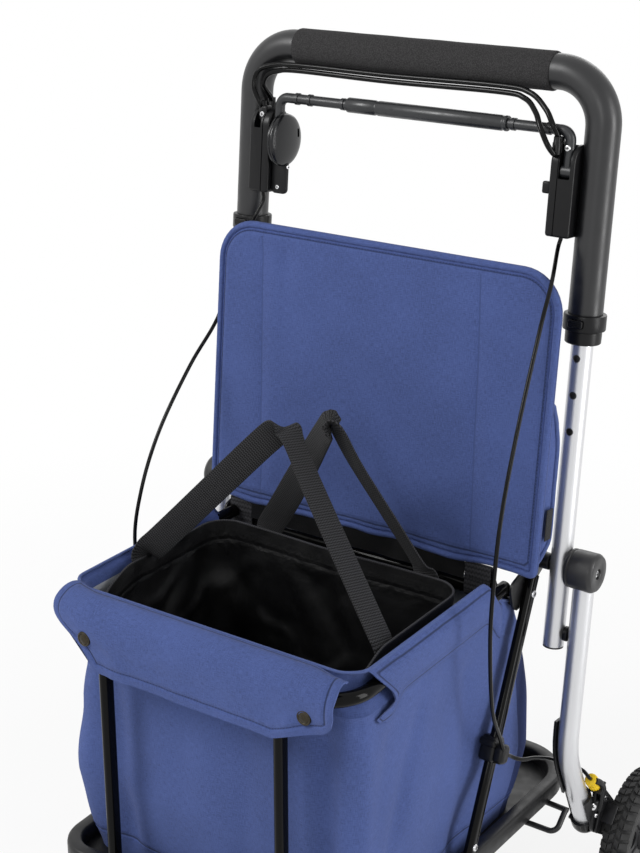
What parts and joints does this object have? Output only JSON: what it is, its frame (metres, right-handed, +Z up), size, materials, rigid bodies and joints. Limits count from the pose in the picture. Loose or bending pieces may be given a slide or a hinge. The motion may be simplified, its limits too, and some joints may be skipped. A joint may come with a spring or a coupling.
{
  "type": "shopping rollator",
  "caption": "Wheeled walking frame with a push handle, brake bar, fold-up padded seat, fabric shopping bag, swivel casters and braked rear wheels.",
  "frame": {"origin": "on the floor, at the middle of the footprint", "axes": "+Z up from the floor; +Y back, towards the person who pushes it; +X to the right seen from the front"},
  "size_m": [0.586, 0.5577, 0.9584],
  "materials": {
    "black_tube": "satin black paint",
    "foam": "matte black foam",
    "plastic": "moulded black",
    "gloss_plastic": "glossy black",
    "bar": "satin dark grey",
    "cable": "smooth black sheath",
    "silver": "satin anodised",
    "black_steel": "semi-gloss black",
    "gloss_black": "glossy black",
    "black_plastic": "moulded black",
    "yellow": "bright yellow",
    "tyre": "dark grey rubber",
    "rim": "dark grey plastic",
    "blue": "woven blue",
    "black_fabric": "coated black",
    "webbing": "black webbing"
  },
  "bodies": {
    "frame": {"rear_leg_left": "silver", "rear_leg_right": "silver", "pivot_hub_left": "plastic", "pivot_hub_right": "plastic", "lock_peg_left": "plastic", "lock_peg_right": "plastic", "side_bracket_left": "black_steel", "side_bracket_right": "black_steel", "crossbar": "gloss_black", "bag_rail": "gloss_black", "front_bar_left": "gloss_black", "front_bar_right": "gloss_black", "side_tube_left": "gloss_black", "side_tube_right": "gloss_black", "cable_clip_left": "plastic", "cable_clip_right": "plastic", "brake_cable_left": "cable", "brake_cable_right": "cable", "base_tray": "black_plastic", "stay_rod_left": "black_steel", "stay_rod_right": "black_steel", "hub_bracket_left": "black_plastic", "hub_bracket_right": "black_plastic", "cable_adjuster_left": "yellow", "cable_adjuster_right": "yellow", "caster_socket_left": "black_plastic", "caster_socket_right": "black_plastic", "outer_bag": "blue", "front_flap": "blue", "hinge_loop_left": "webbing", "hinge_loop_right": "webbing"},
    "mast": {"upper_tube_left": "silver", "upper_tube_right": "silver"},
    "handle": {"handle_tube": "black_tube", "foam_grip": "foam", "leg_collar_left": "plastic", "leg_collar_right": "plastic", "brake_housing_left": "plastic", "brake_housing_right": "plastic", "pivot_cover_left": "gloss_plastic", "link_cable_upper": "cable", "link_cable_lower": "cable"},
    "button_left": {"height_button_left": "plastic"},
    "button_right": {"height_button_right": "plastic"},
    "squeeze_bar": {"brake_bar": "bar"},
    "lever_left": {"brake_lever_left": "black_plastic"},
    "lever_right": {"brake_lever_right": "black_plastic"},
    "wheel_left": {"rear_tyre_left": "tyre", "rear_rim_left": "rim"},
    "wheel_right": {"rear_tyre_right": "tyre", "rear_rim_right": "rim"},
    "fork_left": {"caster_fork_left": "black_plastic"},
    "fork_right": {"caster_fork_right": "black_plastic"},
    "front_wheel_left": {"caster_wheel_left": "tyre"},
    "front_wheel_right": {"caster_wheel_right": "tyre"},
    "shopping_bag": {"inner_bag": "black_fabric", "strap_front": "webbing", "strap_rear": "webbing"},
    "seat": {"seat_panel": "blue", "seat_cushion": "blue"}
  },
  "joints": [
    {"name": "handle_fold", "type": "hinge", "parent": "frame", "child": "mast", "pos_m": [0, 0.09275, 0.443], "axis": [-1, 0, 0], "range_deg": [0, 75], "deforming": ["brake_cable_left", "brake_cable_right"]},
    {"name": "handle_height", "type": "slide", "parent": "mast", "child": "handle", "axis": [0, 0.0889, 0.996], "range_m": [-0.114, 0], "deforming": ["brake_cable_left", "brake_cable_right"]},
    {"name": "height_button_left", "type": "slide", "parent": "handle", "child": "button_left", "axis": [0, 0.996, -0.0889], "range_m": [0, 0.0025], "stiffness_N_per_m": 400},
    {"name": "height_button_right", "type": "slide", "parent": "handle", "child": "button_right", "axis": [0, 0.996, -0.0889], "range_m": [0, 0.0025], "stiffness_N_per_m": 400},
    {"name": "brake_squeeze", "type": "hinge", "parent": "handle", "child": "squeeze_bar", "pos_m": [0, 0.10892, 0.84917], "axis": [-1, 0, 0], "range_deg": [0, 22], "stiffness_Nm_per_rad": 3},
    {"name": "brake_lever_left", "type": "hinge", "parent": "frame", "child": "lever_left", "pos_m": [0, 0.12675, 0.12], "axis": [-1, 0, 0], "range_deg": [0, 6]},
    {"name": "brake_lever_right", "type": "hinge", "parent": "frame", "child": "lever_right", "pos_m": [0, 0.12675, 0.12], "axis": [-1, 0, 0], "range_deg": [0, 6]},
    {"name": "rear_wheel_left", "type": "hinge", "parent": "frame", "child": "wheel_left", "pos_m": [-0.272, 0.20075, 0.078], "axis": [1, 0, 0], "continuous": true},
    {"name": "rear_wheel_right", "type": "hinge", "parent": "frame", "child": "wheel_right", "pos_m": [0.272, 0.20075, 0.078], "axis": [1, 0, 0], "continuous": true},
    {"name": "caster_swivel_left", "type": "hinge", "parent": "frame", "child": "fork_left", "pos_m": [-0.152, -0.21325, 0.1174], "axis": [0, 0, 1], "continuous": true},
    {"name": "caster_swivel_right", "type": "hinge", "parent": "frame", "child": "fork_right", "pos_m": [0.152, -0.21325, 0.1174], "axis": [0, 0, 1], "continuous": true},
    {"name": "caster_wheel_left", "type": "hinge", "parent": "fork_left", "child": "front_wheel_left", "pos_m": [-0.152, -0.18325, 0.055], "axis": [1, 0, 0], "continuous": true},
    {"name": "caster_wheel_right", "type": "hinge", "parent": "fork_right", "child": "front_wheel_right", "pos_m": [0.152, -0.18325, 0.055], "axis": [1, 0, 0], "continuous": true},
    {"name": "seat_hinge", "type": "hinge", "parent": "frame", "child": "seat", "pos_m": [0, 0.03375, 0.459], "axis": [-1, 0, 0], "range_deg": [-95, 0], "deforming": ["hinge_loop_left", "hinge_loop_right", "strap_front", "strap_rear", "brake_cable_left", "brake_cable_right"]},
    {"name": "shopping_bag_lift", "type": "slide", "parent": "frame", "child": "shopping_bag", "axis": [0, 0, 1], "range_m": [0, 0.3]}
  ],
  "couplings": [
    {"joint": "brake_lever_left", "follows": "brake_squeeze", "ratio": 0.27},
    {"joint": "brake_lever_right", "follows": "brake_squeeze", "ratio": 0.27}
  ]
}
